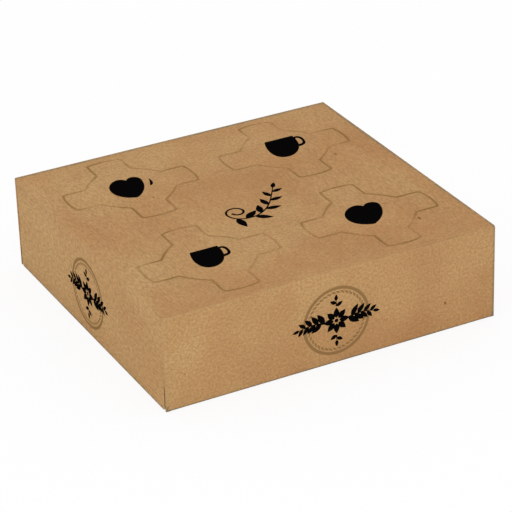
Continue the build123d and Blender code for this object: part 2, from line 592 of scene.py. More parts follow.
@built_once("node_groups", "fold_wear")
def fold_band_group(name):
    """Mask of liner along the box's outer folds: 1 on a fold, 0 past a reach from it."""
    inputs = {
        "Vector": (VECTOR, None),
        "Half Length": (FLOAT, HALF_LENGTH),
        "Half Width": (FLOAT, HALF_WIDTH),
        "Height": (FLOAT, HEIGHT),
        "Reach": (FLOAT, 2.4 * MM),
    }
    tree, given = start_group(name, "ShaderNodeTree", inputs, {"Along Folds": FLOAT})
    x, y, z = parts_of(given["Vector"])
    from_end = given["Half Length"] - abs(x)
    from_side = given["Half Width"] - abs(y)
    half_height = given["Height"] * 0.5
    from_top = half_height - abs(z - half_height)

    # On an outer face one of the three distances is nil, and the middle one is the distance to a fold.
    nearer = smaller(from_end, from_side)
    further = larger(from_end, from_side)
    to_fold = larger(nearer, smaller(further, from_top))
    add_node(tree, "NodeGroupOutput", {"Along Folds": ramp(to_fold, given["Reach"], 0.0)})
    return tree


def along_folds(place, reach):
    """Mask of liner within a reach of the box's outer folds."""
    return place_group(place.tree, fold_band_group(), {"Vector": place, "Reach": reach})["Along Folds"]


def cut_crush_and_shade(place, cut, reach):
    """Mask of liner that the die pressed beside a knock-out's cut, with painted shade of the cut's slit, on
    the top panel only.
    """
    seat = SEATS["back_right"]
    x, y, z = parts_of(place)
    off_x = abs(abs(x) - seat.x)
    off_y = abs(abs(y) - seat.y)
    behind = body_offset(cut)
    from_seat = vector_math("LENGTH", vector_of(off_x, off_y, 0.0), output="Value")
    from_bow = vector_math("LENGTH", vector_of(off_x + behind, off_y + behind, 0.0), output="Value")
    from_arm_side = smaller(off_x, off_y) - cut.arm_width / 2
    from_arm_end = from_seat - cut.span / 2
    from_arm = calculate("SMOOTH_MAX", from_arm_side, from_arm_end, cut.bend_blend * cut.rule_bend)
    to_cut = abs(smaller(from_bow - cut.body_bow, from_arm))
    return ramp(to_cut, reach, cut.cut_width / 2) * (z > HEIGHT - BOARD_DEPTH)


def seam_shade(place, kraft):
    """Mask of painted shade in the open lower stretch of the seams between the end walls and the long walls.
    """
    x, y, z = parts_of(place)
    to_seam = abs(abs(y) - (HALF_WIDTH - kraft.seam_inset))
    beside = ramp(to_seam, kraft.seam_spread, kraft.seam_core) * (abs(x) > HALF_LENGTH - WALL_DEPTH)
    under_tabs = ramp(z, kraft.seam_top, kraft.seam_top - kraft.seam_top_fade)
    over_foot = ramp(z, kraft.seam_foot - kraft.seam_foot_fade, kraft.seam_foot)
    return beside * under_tabs * over_foot


def bark_specks(place, grain):
    """Mask of the larger specks of bark, drawn out along Y as the other marks are."""
    squeeze = Vector((1.0, 1.0 / grain, 1.0))
    squeezed = vector_math("MULTIPLY", place, squeeze)
    specks = []
    for middle, half_width in BARK_SPECKS:
        away = vector_math("DISTANCE", squeezed, middle * squeeze, "Value")
        specks.append(ramp(away, half_width, half_width / 2))
    return larger(*specks)


def painted_edge_shade(place, kraft):
    """Mask of painted shade along the edges at the back, at the right and at the foot, where the walls meet
    the floor.
    """
    x, y, z = parts_of(place)
    from_right = HALF_LENGTH - x
    from_back = HALF_WIDTH - y
    on_top = ramp(z, HEIGHT - BEND_FOOT, HEIGHT - BEND_HEAD)
    at_back = ramp(from_back, kraft.edge_shade_back, kraft.edge_shade_back / 2)
    at_right = ramp(from_right, kraft.edge_shade_end, kraft.edge_shade_end / 2)
    top_edges = larger(at_back, at_right) * on_top

    full_from = 0.6
    on_shaded_side = smaller(from_right, from_back, z) < EDGE_DEPTH
    wall_edges = ramp(along_folds(place, kraft.edge_shade_wall), 0.0, full_from) * on_shaded_side
    foot_shade_share = (z < EDGE_DEPTH) * kraft.foot_shade_share
    right_share = (from_right < EDGE_DEPTH) * kraft.right_share
    wall_share = larger(foot_shade_share, right_share, kraft.other_share)
    return top_edges + wall_edges * wall_share * (1.0 - on_top)


# Materials

def start_material(name):
    """Empty node material, and the object's own coordinates in it."""
    material = bpy.data.materials.new(name)
    material.use_nodes = True
    material.node_tree.nodes.clear()
    return material, output_of(material.node_tree, "ShaderNodeTexCoord", output="Object")


def finish_material(material, inputs):
    """Gives a material its Principled BSDF, with inputs by name, and its output."""
    surface = output_of(material.node_tree, "ShaderNodeBsdfPrincipled", inputs)
    add_node(material.node_tree, "ShaderNodeOutputMaterial", {"Surface": surface})
    return material


def add_pulp(place, kraft):
    """Pulp masks over the unfolded sheet."""
    sheet = place_group(place.tree, unfold_group(), {"Vector": place, "Grain": kraft.grain})["Sheet"]
    return place_group(place.tree, pulp_group(), {
        "Sheet": sheet,
        "Blotch Size": kraft.blotch_size,
        "Mottle Size": kraft.mottle_size,
        "Fibre Length": kraft.fibre_length,
        "Fibre Width": kraft.fibre_width,
        "Fleck Spacing": kraft.fleck_spacing,
    })


def fine_relief(height, settings):
    """Normal of a surface with a fine relief."""
    inputs = {"Height": height, "Distance": settings.relief_depth, "Strength": settings.relief_strength}
    return output_of(height.tree, "ShaderNodeBump", inputs)


def sheet_redness(place, pulp, kraft):
    """How red the sheet is: in blotches, in bands across the top, and to the right, most of all low down on
    the walls, which is painted shade.
    """
    x, y, z = parts_of(place)
    from_band = y - x * kraft.band_slant - kraft.band_place
    wave = calculate("COSINE", from_band * (math.tau / kraft.band_pitch))
    top_band = (wave * 0.5 + 0.5) * (z > HEIGHT - FLAT_DEPTH)
    to_right = ramp(x, -HALF_LENGTH, HALF_LENGTH, "LINEAR")
    # Painted shade towards the walls' foot at the right.
    low_down = ramp(z, kraft.low_start * HEIGHT, 0.0)
    drift = to_right * (low_down * kraft.low_painted_shade + kraft.right_redness)
    return pulp["Blotch"] * kraft.blotch_redness + top_band * kraft.band_redness + drift


def pulp_colour(place, pulp, kraft):
    """Colour of the liner as it was made, and the painted shade towards the walls' foot at the right."""
    colour = lay_over(kraft.yellow, kraft.red, sheet_redness(place, pulp, kraft))
    colour = lay_over(colour, kraft.dark_fibre, pulp["Shade"] * kraft.shade_strength)
    colour = lay_over(colour, kraft.dark_fibre, pulp["Mottle"] * kraft.mottle_strength)
    colour = lay_over(colour, kraft.pale_fibre, pulp["Pale Fibres"] * kraft.fibre_strength)
    colour = lay_over(colour, kraft.dark_fibre, pulp["Dark Fibres"] * kraft.fibre_strength)
    bark = larger(bark_specks(place, kraft.grain), pulp["Flecks"])
    return lay_over(colour, kraft.speck, bark * kraft.speck_strength)


def shade_and_wear_folds(colour, place, pulp, kraft):
    """Liner paler along the folds over a wide band, from wear and a painted highlight, with painted shade
    along a narrow one and along the edges.
    """
    # Paler liner along the folds: partly wear, partly a painted highlight.
    rubbed_and_lit = along_folds(place, kraft.wear_and_highlight_reach) * between(kraft.wear_and_highlight_strength, pulp["Mottle"])
    colour = lay_over(colour, kraft.pale_fibre, rubbed_and_lit)

    _, y, z = parts_of(place)
    on_long_fold = (abs(y) > HALF_WIDTH - WALL_DEPTH) * (z > HEIGHT - WALL_DEPTH)
    # Painted shade in a narrow band on the folds, strongest on the top's long folds.
    crease_shade = between(kraft.crease_shade_share, on_long_fold) * between(kraft.crease_shade_strength, pulp["Shade"])
    colour = lay_over(colour, kraft.dark_fibre, along_folds(place, kraft.crease_shade_reach) * crease_shade)

    # Painted shade along the back, right and foot edges, in patches.
    patches = pulp["Shade"] * kraft.edge_shade_wide_share + pulp["Mottle"] * (1.0 - kraft.edge_shade_wide_share)
    edge_shade = painted_edge_shade(place, kraft) * between(kraft.edge_shade_strength, patches)
    return lay_over(colour, kraft.edge_shade, edge_shade)


@built_once("materials", "kraft_board_liner")
def kraft_material(name, settings):
    """Uncoated brown liner: folds paler from wear and a painted highlight, painted shade on the folds, along
    edges and in the seams, and cut lines of pressed liner with painted shade of their slits.
    """
    kraft = settings.carrier_kraft
    material, place = start_material(name)
    pulp = add_pulp(place, kraft)
    crush_and_shade = cut_crush_and_shade(place, settings.carrier_cut, kraft.crush_and_shade_reach)
    colour = shade_and_wear_folds(pulp_colour(place, pulp, kraft), place, pulp, kraft)
    # Cut lines: liner that the die pressed, with painted shade of the slit.
    colour = lay_over(colour, kraft.crushed_and_shaded, crush_and_shade * between(kraft.crush_and_shade_strength, pulp["Shade"]))
    colour = lay_over(colour, kraft.seam, seam_shade(place, kraft) * kraft.seam_strength)
    return finish_material(material, {
        "Base Color": colour,
        "Roughness": between(kraft.roughness, pulp["Mottle"]),
        "Specular IOR Level": kraft.gloss,
        "Normal": fine_relief(pulp["Height"] - crush_and_shade * kraft.crush_depth, kraft),
    })


def ink_material(name, settings, colour, cover):
    """Ink soaked into the liner, so that fibres and mottling still show a little."""
    kraft = settings.carrier_kraft
    ink = settings.carrier_print
    material, place = start_material(name)
    pulp = add_pulp(place, kraft)
    bare = pulp["Pale Fibres"] * pulp["Mottle"] * (1.0 - cover)
    return finish_material(material, {
        "Base Color": lay_over(colour, kraft.colour, bare),
        "Roughness": between(ink.roughness, pulp["Mottle"]),
        "Specular IOR Level": 0.0,
        "Normal": fine_relief(pulp["Height"], ink),
    })


@built_once("materials", "black_print")
def black_ink(name, settings):
    """Flat black print."""
    ink = settings.carrier_print
    return ink_material(name, settings, ink.black, ink.black_cover)


@built_once("materials", "brown_print")
def brown_ink(name, settings):
    """Thin grey-brown print."""
    ink = settings.carrier_print
    return ink_material(name, settings, ink.brown, ink.brown_cover)


# Meshes

def finish_piece(name, mesh, material):
    """Object at the origin that rides with the carrier and takes its finish from one slot."""
    mesh.materials.clear()
    mesh.materials.append(material)
    piece = bpy.data.objects.new(name, mesh)
    bpy.context.scene.collection.objects.link(piece)
    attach(piece, BODY)
    return piece


def close_mesh(mesh):
    """Welds a mesh's seams and turns its faces outwards."""
    work = bmesh.new()
    work.from_mesh(mesh)
    bmesh.ops.remove_doubles(work, verts=work.verts, dist=WELD)
    bmesh.ops.recalc_face_normals(work, faces=work.faces)
    work.to_mesh(mesh)
    work.free()


def joined(name, meshes):
    """One mesh of several."""
    work = bmesh.new()
    for mesh in meshes:
        work.from_mesh(mesh)
        bpy.data.meshes.remove(mesh)
    whole = bpy.data.meshes.new(name)
    work.to_mesh(whole)
    work.free()
    return whole


def face_matrix(origin, right, up):
    """Places a drawing, made in (right, up, outwards), on a face of the box."""
    matrix = Matrix((right, up, right.cross(up))).transposed().to_4x4()
    matrix.translation = origin
    return matrix


def on_seat(seat, offset, lean=0.0):
    """Places a drawing, leaning to the right, at an offset in millimetres from a seat's middle."""
    middle = SEATS[seat] + Vector((*offset, 0.0)) * MM
    slant = Matrix.Identity(4)
    slant[0][1] = lean
    return face_matrix(middle, AXIS_X, AXIS_Y) @ slant


def film_mesh(name, outlines, film):
    """Closed film inside smooth outlines, each a list of (point, handle before, handle after) in metres."""
    drawing = bpy.data.curves.new(name, "CURVE")
    drawing.dimensions = "2D"
    drawing.fill_mode = "BOTH"
    drawing.extrude = film / 2
    drawing.resolution_u = CURVE_STEPS
    for outline in outlines:
        spline = drawing.splines.new("BEZIER")
        spline.use_cyclic_u = True
        spline.bezier_points.add(len(outline) - 1)
        for knot, (point, before, after) in zip(spline.bezier_points, outline):
            knot.handle_left_type = "FREE"
            knot.handle_right_type = "FREE"
            knot.co = (*point, 0.0)
            knot.handle_left = (*before, 0.0)
            knot.handle_right = (*after, 0.0)
    holder = bpy.data.objects.new(name, drawing)
    mesh = bpy.data.meshes.new_from_object(holder)
    bpy.data.objects.remove(holder)
    bpy.data.curves.remove(drawing)
    close_mesh(mesh)
    return mesh


def scaled_knots(knots, width, height):
    """Knots of an outline, each a (point, handle before, handle after), stretched to a size."""
    return [tuple((u * width, v * height) for u, v in knot) for knot in knots]


def circle_outline(radius):
    """Circle about the origin as four smooth knots."""
    pull = 4 / 3 * math.tan(math.pi / 8)
    right = ((1, 0), (1, -pull), (1, pull))
    knots = []
    for quarter in range(4):
        turn = Matrix.Rotation(quarter * math.pi / 2, 2)
        knots.append([turn @ Vector(point) for point in right])
    return scaled_knots(knots, radius, radius)


def heart_outline(width, height):
    """Full heart with a shallow notch and a larger left lobe, about the line from its notch to its tip."""
    notch = ((0.06, 0.38), (-0.13, 0.66), (0.15, 0.55))
    right_side = ((0.445, 0.24), (0.46, 0.49), (0.44, -0.08))
    tip = ((0.0, -0.5), (0.26, -0.36), (-0.22, -0.46))
    left_side = ((-0.527, 0.06), (-0.53, -0.28), (-0.53, 0.40))
    return scaled_knots((notch, right_side, tip, left_side), width, height)


def fleck_outline():
    """Tapered fleck with a round foot and a sharp tip, drawn in millimetres."""
    foot = ((-1.8, -5.0), (-0.9, -2.3), (2.2, -3.9))
    tip = ((1.7, 5.2), (2.6, 1.0), (0.9, 1.3))
    return scaled_knots((foot, tip), MM, MM)


def cup_outlines(width, height, reach, stroke):
    """Side view of a round-bottomed cup with a handle on its right: outer line and handle hole."""
    half = width / 2
    rim = height / 2
    foot = -height / 2
    out = half + reach
    inner_out = out - stroke
    inner_reach = reach - stroke
    inner_side = half + 0.7 * inner_reach

    def below(share):
        """Height of a point some share of the cup's height below its rim."""
        return rim - share * height

    rim_left = ((-half, rim), (-1.25 * half, 0.0), (-half / 3, rim))
    rim_right = ((half, rim), (half / 3, rim), (half, rim))
    handle_top = ((1.02 * half, below(0.085)), (1.01 * half, below(0.04)), (half + 0.7 * reach, below(0.035)))
    handle_side = ((out, below(0.41)), (out, below(0.22)), (out, below(0.56)))
    handle_foot = ((half, below(0.63)), (half + 0.75 * reach, below(0.62)), (0.93 * half, below(0.78)))
    bottom = ((0.0, foot), (0.55 * half, foot), (-0.91 * half, foot))
    hole_top = ((1.08 * half, below(0.17)), (1.12 * half, below(0.33)), (inner_side, below(0.15)))
    hole_side = ((inner_out, below(0.40)), (inner_out, below(0.28)), (inner_out, below(0.49)))
    hole_foot = ((1.08 * half, below(0.51)), (inner_side, below(0.51)), (1.11 * half, below(0.45)))
    return [
        [rim_left, rim_right, handle_top, handle_side, handle_foot, bottom],
        [hole_top, hole_side, hole_foot],
    ]


def body_offset(cut):
    """How far along X and along Y the middle of a bowed side's arc lies behind the seat's middle."""
    return (cut.body_bow - cut.body / 2) / math.sqrt(2)


def arc_points(centre, radius, start, end, steps):
    """Points along an arc about a centre, with both its ends."""
    points = []
    for step in range(steps + 1):
        angle = start + (end - start) * step / steps
        outward = Vector((math.cos(angle), math.sin(angle), 0.0))
        points.append(Vector((*centre, 0.0)) + radius * outward)
    return points


def knockout_points(cut, growth):
    """Outline of a knock-out drawn growth outside its cut line: a middle with bowed sides and four arms."""
    reach = cut.span / 2 + growth
    bow = cut.body_bow + growth
    half_arm = cut.arm_width / 2 + growth
    behind = body_offset(cut)
    outward_bend = cut.rule_bend + growth
    inward_bend = cut.rule_bend - growth
    right_angle = math.pi / 2

    # Middles of the bends at an arm's end and where the arm meets the bowed side.
    end_y = half_arm - outward_bend
    end_x = math.sqrt((reach - outward_bend) ** 2 - end_y ** 2)
    end_turn = math.atan2(end_y, end_x)
    side_y = half_arm + inward_bend
    side_x = math.sqrt((bow + inward_bend) ** 2 - (side_y + behind) ** 2) - behind
    side_turn = math.atan2(side_y + behind, side_x + behind)

    quarter_points = [
        *arc_points((end_x, -end_y), outward_bend, -right_angle, -end_turn, BEND_STEPS),
        *arc_points((0.0, 0.0), reach, -end_turn, end_turn, ARC_STEPS)[1:-1],
        *arc_points((end_x, end_y), outward_bend, end_turn, right_angle, BEND_STEPS),
        *arc_points((side_x, side_y), inward_bend, -right_angle, side_turn - math.pi, BEND_STEPS),
        *arc_points((-behind, -behind), bow, side_turn, right_angle - side_turn, ARC_STEPS)[1:-1],
        *arc_points((side_y, side_x), inward_bend, 3 * right_angle - side_turn, math.pi, BEND_STEPS),
    ]
    points = []
    for quarter in range(4):
        turn = Matrix.Rotation(quarter * right_angle, 3, "Z")
        points.extend(turn @ point for point in quarter_points)
    return points


# Geometry node trees

@built_once("node_groups", "film_of_ink")
def film_group(name):
    """Gives flat faces the print's thickness, half over and half under the drawing's plane."""
    inputs = {"Faces": (GEOMETRY, None), "Film": (FLOAT, 0.06 * MM)}
    tree, given = start_group(name, "GeometryNodeTree", inputs, {"Geometry": GEOMETRY})
    lifted = output_of(tree, "GeometryNodeExtrudeMesh", {
        "Mesh": given["Faces"], "Offset Scale": given["Film"], "Individual": False,
    })
    under = output_of(tree, "GeometryNodeFlipFaces", {"Mesh": given["Faces"]})
    whole = {"Geometry": join_geometry(lifted, under), "Distance": WELD}
    welded = output_of(tree, "GeometryNodeMergeByDistance", whole)
    half_down = vector_of(0.0, 0.0, given["Film"] * -0.5)
    sunk = output_of(tree, "GeometryNodeTransform", {"Geometry": welded, "Translation": half_down})
    add_node(tree, "NodeGroupOutput", {"Geometry": sunk})
    return tree


@built_once("node_groups", "pointed_leaf")
def leaf_group(name):
    """Pointed leaf lying along +X from the origin."""
    inputs = {"Leaf Length": (FLOAT, 7 * MM), "Leaf Width": (FLOAT, 3 * MM), "Film": (FLOAT, 0.06 * MM)}
    tree, given = start_group(name, "GeometryNodeTree", inputs, {"Geometry": GEOMETRY})
    rim = {"Vertices": LEAF_POINTS, "Radius": 1.0}
    disc = output_of(tree, "GeometryNodeMeshCircle", rim, fill_type="NGON")

    # The disc is drawn out to the leaf's length and pinched to points, and it is widest near its foot. Both X
    # and Y change sides, so its face still points up.
    foot_fullness = 1.2
    tip_loss = 0.55
    x, y, _ = parts_of(output_of(tree, "GeometryNodeInputPosition"))
    along = x * -0.5 + 0.5
    bulge = y * abs(y) * (foot_fullness - along * tip_loss)
    place = vector_of(along * given["Leaf Length"], bulge * given["Leaf Width"] * -0.5, 0.0)
    flat = output_of(tree, "GeometryNodeSetPosition", {"Geometry": disc, "Position": place})
    film = place_group(tree, film_group(), {"Faces": flat, "Film": given["Film"]})
    add_node(tree, "NodeGroupOutput", film)
    return tree


def end_tree(geometry, material):
    """Realizes the instances, sets their material and ends the tree."""
    tree = geometry.tree
    real = output_of(tree, "GeometryNodeRealizeInstances", {"Geometry": geometry})
    painted = output_of(tree, "GeometryNodeSetMaterial", {"Geometry": real, "Material": material})
    add_node(tree, "NodeGroupOutput", {"Geometry": painted})
    return tree


def place_leaf(tree, given):
    """Leaf of the size that a tree is given."""
    sizes = {label: given[label] for label in ("Leaf Length", "Leaf Width", "Film")}
    return place_group(tree, leaf_group(), sizes)["Geometry"]


@built_once("node_groups", "leaves_on_stems")
def leaf_stem_tree(name):
    """Leaves set in turn on both sides of each stem past its bare foot, and the stems as tapering strokes."""
    inputs = {
        "Stems": (GEOMETRY, None),
        "Bare Foot": (FLOAT, 0.0),
        "Leaves": (WHOLE, 8),
        "Leaf Length": (FLOAT, 7 * MM),
        "Leaf Width": (FLOAT, 3 * MM),
        "Leaf Angle": (FLOAT, math.radians(38)),
        "Tip Share": (FLOAT, 0.55),
        "Stem Width": (FLOAT, 1.1 * MM),
        "Film": (FLOAT, 0.06 * MM),
        "Material": (MATERIAL, None),
    }
    tree, given = start_group(name, "GeometryNodeTree", inputs, {"Geometry": GEOMETRY})
    stems = output_of(tree, "GeometryNodeMeshToCurve", {"Mesh": given["Stems"]})

    # Leaf places, with the leaves shrinking towards the tip of their stem and the last one straight on it.
    trim = {"Curve": stems, "Start": given["Bare Foot"]}
    leafy = output_of(tree, "GeometryNodeTrimCurve", trim, mode="FACTOR")
    spacing = {"Curve": leafy, "Count": given["Leaves"]}
    dots = add_node(tree, "GeometryNodeCurveToPoints", spacing, mode="COUNT").outputs
    order = output_of(tree, "GeometryNodeInputIndex") % given["Leaves"]
    last = given["Leaves"] - 1.0
    side = (order % 2.0) * 2.0 - 1.0
    spread = side * (order < last - 0.5)
    tangent_x, tangent_y, _ = parts_of(Wire(dots["Tangent"]))
    turn = calculate("ARCTAN2", tangent_y, tangent_x) + spread * given["Leaf Angle"]
    size = order / last * (given["Tip Share"] - 1.0) + 1.0
    leaves = output_of(tree, "GeometryNodeInstanceOnPoints", {
        "Points": Wire(dots["Points"]),
        "Instance": place_leaf(tree, given),
        "Rotation": vector_of(0.0, 0.0, turn),
        "Scale": vector_of(size, size, 1.0),
    })

    # Stems, full at the foot and fine at the tip.
    tip_thinning = 0.6
    radius = 1.0 - output_of(tree, "GeometryNodeSplineParameter", output="Factor") * tip_thinning
    thinned = output_of(tree, "GeometryNodeSetCurveRadius", {"Curve": stems, "Radius": radius})
    upright = output_of(tree, "GeometryNodeSetCurveNormal", {"Curve": thinned}, mode="Z_UP")
    stroke = {"Width": given["Stem Width"], "Height": given["Film"]}
    profile = output_of(tree, "GeometryNodeCurvePrimitiveQuadrilateral", stroke)
    strokes = output_of(tree, "GeometryNodeCurveToMesh", {
        "Curve": upright, "Profile Curve": profile, "Scale": radius, "Fill Caps": True,
    })
    return end_tree(join_geometry(leaves, strokes), given["Material"])


@built_once("node_groups", "leaves_on_ring")
def leaf_ring_tree(name):
    """Leaves set round a circle, each turned by the same angle from the outward direction."""
    inputs = {
        "Host": (GEOMETRY, None),
        "Ring Radius": (FLOAT, 18 * MM),
        "Leaves": (WHOLE, 32),
        "Leaf Length": (FLOAT, 3.4 * MM),
        "Leaf Width": (FLOAT, 1.3 * MM),
        "Turn": (FLOAT, 0.0),
        "Film": (FLOAT, 0.06 * MM),
        "Material": (MATERIAL, None),
    }
    tree, given = start_group(name, "GeometryNodeTree", inputs, {"Geometry": GEOMETRY})
    circle = {"Vertices": given["Leaves"], "Radius": given["Ring Radius"]}
    x, y, _ = parts_of(output_of(tree, "GeometryNodeInputPosition"))
    turn = calculate("ARCTAN2", y, x) + given["Turn"]
    leaves = output_of(tree, "GeometryNodeInstanceOnPoints", {
        "Points": output_of(tree, "GeometryNodeMeshCircle", circle),
        "Instance": place_leaf(tree, given),
        "Rotation": vector_of(0.0, 0.0, turn),
    })
    return end_tree(leaves, given["Material"])


@built_once("node_groups", "lips_of_cuts")
def cut_lip_tree(name):
    """Lips of liner that follow a knock-out's outlines, repeated at every seat."""
    inputs = {
        "Outlines": (GEOMETRY, None),
        "Pitch X": (FLOAT, 110 * MM),
        "Pitch Y": (FLOAT, 110 * MM),
        "Seat Height": (FLOAT, HEIGHT),
        "Lip Width": (FLOAT, 0.48 * MM),
        "Lip Height": (FLOAT, 0.05 * MM),
        "Material": (MATERIAL, None),
    }
    tree, given = start_group(name, "GeometryNodeTree", inputs, {"Geometry": GEOMETRY})
    lines = output_of(tree, "GeometryNodeMeshToCurve", {"Mesh": given["Outlines"]})
    upright = output_of(tree, "GeometryNodeSetCurveNormal", {"Curve": lines}, mode="Z_UP")

    # A lip's section is an ellipse that is half sunk in the liner.
    bead = output_of(tree, "GeometryNodeCurvePrimitiveCircle", {"Resolution": BEAD_POINTS, "Radius": 0.5})
    size = vector_of(given["Lip Width"], given["Lip Height"] * 2.0, 1.0)
    profile = output_of(tree, "GeometryNodeTransform", {"Geometry": bead, "Scale": size})
    lips = output_of(tree, "GeometryNodeCurveToMesh", {"Curve": upright, "Profile Curve": profile})

    grid = output_of(tree, "GeometryNodeMeshGrid", {
        "Size X": given["Pitch X"], "Size Y": given["Pitch Y"], "Vertices X": 2, "Vertices Y": 2,
    })
    lift = vector_of(0.0, 0.0, given["Seat Height"])
    seats = output_of(tree, "GeometryNodeTransform", {"Geometry": grid, "Translation": lift})
    placed = output_of(tree, "GeometryNodeInstanceOnPoints", {"Points": seats, "Instance": lips})
    return end_tree(placed, given["Material"])


def grow_mesh(name, tree, values, lines=()):
    """Plain mesh that a tree makes from values by input name, and from polylines of (points, closed)."""
    seed = bpy.data.meshes.new(name)
    points = []
    edges = []
    for line, closed in lines:
        first = len(points)
        points.extend(line)
        edges.extend((first + step, first + step + 1) for step in range(len(line) - 1))
        if closed:
            edges.append((len(points) - 1, first))
    seed.from_pydata(points, edges, [])
    host = bpy.data.objects.new(name, seed)
    bpy.context.scene.collection.objects.link(host)
    modifier = host.modifiers.new(name, "NODES")
    modifier.node_group = tree
    identifiers = {item.name: item.identifier for item in tree.interface.items_tree if item.in_out == "INPUT"}
    for label, value in values.items():
        modifier[identifiers[label]] = value
    grown = host.evaluated_get(bpy.context.evaluated_depsgraph_get())
    mesh = bpy.data.meshes.new_from_object(grown)
    host.modifiers.clear()
    bpy.data.objects.remove(host)
    bpy.data.meshes.remove(seed)
    close_mesh(mesh)
    mesh.name = name
    return mesh


# Operators

class CARRIER_OT_finish_board(Operator):
    """Finish the folded board: merge its faces, soften its cut edges and give it the kraft liner"""

    bl_idname = "carrier.finish_board"
    bl_label = "Finish board"

    def execute(self, context):
        settings = context.scene
        mesh = frame["nodes"][NODE].data.copy()
        mesh.name = "folded_board"
        work = bmesh.new()
        work.from_mesh(mesh)
        bmesh.ops.remove_doubles(work, verts=work.verts, dist=CAD_WELD)
        bmesh.ops.dissolve_limit(work, angle_limit=FLAT_TURN, verts=work.verts, edges=work.edges)
        sharp = [e for e in work.edges if len(e.link_faces) == 2 and e.calc_face_angle() > SHARP_TURN]
        bmesh.ops.bevel(
            work, geom=sharp, offset=settings.carrier_kraft.edge_softness, segments=2, profile=0.6,
            affect="EDGES", clamp_overlap=True,
        )
        for face in work.faces:
            face.smooth = True
        work.to_mesh(mesh)
        work.free()
        board = finish_piece("folded_board", mesh, kraft_material(settings))
        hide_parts(NODE)
        return {"FINISHED"}


class CARRIER_OT_press_cut_lips(Operator):
    """Raise the lips that the die leaves on both sides of each knock-out's cut"""

    bl_idname = "carrier.press_cut_lips"
    bl_label = "Press cut lips"

    def execute(self, context):
        settings = context.scene
        cut = settings.carrier_cut
        from_line = (cut.lip_gap + cut.lip_width) / 2
        seat = SEATS["back_right"]
        values = {
            "Pitch X": 2 * seat.x,
            "Pitch Y": 2 * seat.y,
            "Seat Height": seat.z,
            "Lip Width": cut.lip_width,
            "Lip Height": cut.lip_height,
            "Material": kraft_material(settings),
        }
        lines = [(knockout_points(cut, growth), True) for growth in (from_line, -from_line)]
        mesh = grow_mesh("cut_lips", cut_lip_tree(), values, lines)
        for face in mesh.polygons:
            face.use_smooth = True
        finish_piece("cut_lips", mesh, kraft_material(settings))
        return {"FINISHED"}


class CARRIER_OT_print_seat_figures(Operator):
    """Print a heart or a cup on each knock-out, and the loose fleck of ink beside one heart"""

    bl_idname = "carrier.print_seat_figures"
    bl_label = "Print seat figures"

    def execute(self, context):
        settings = context.scene
        ink = settings.carrier_print
        figures = {}
        for seat, (motif, offset, size, lean) in SEAT_PRINTS.items():
            width, height = Vector(size) * MM
            if motif == "heart":
                outlines = [heart_outline(width, height)]
            else:
                outlines = cup_outlines(width, height, ink.handle_reach * width / 2, ink.handle_stroke)
            figures[f"{motif}_{seat}"] = (outlines, on_seat(seat, offset, lean))
        figures["ink_fleck"] = ([fleck_outline()], on_seat(FLECK_SEAT, FLECK_OFFSET))
        for name, (outlines, place) in figures.items():
            mesh = film_mesh(name, outlines, ink.film)
            mesh.transform(place)
            finish_piece(name, mesh, black_ink(settings))
        return {"FINISHED"}


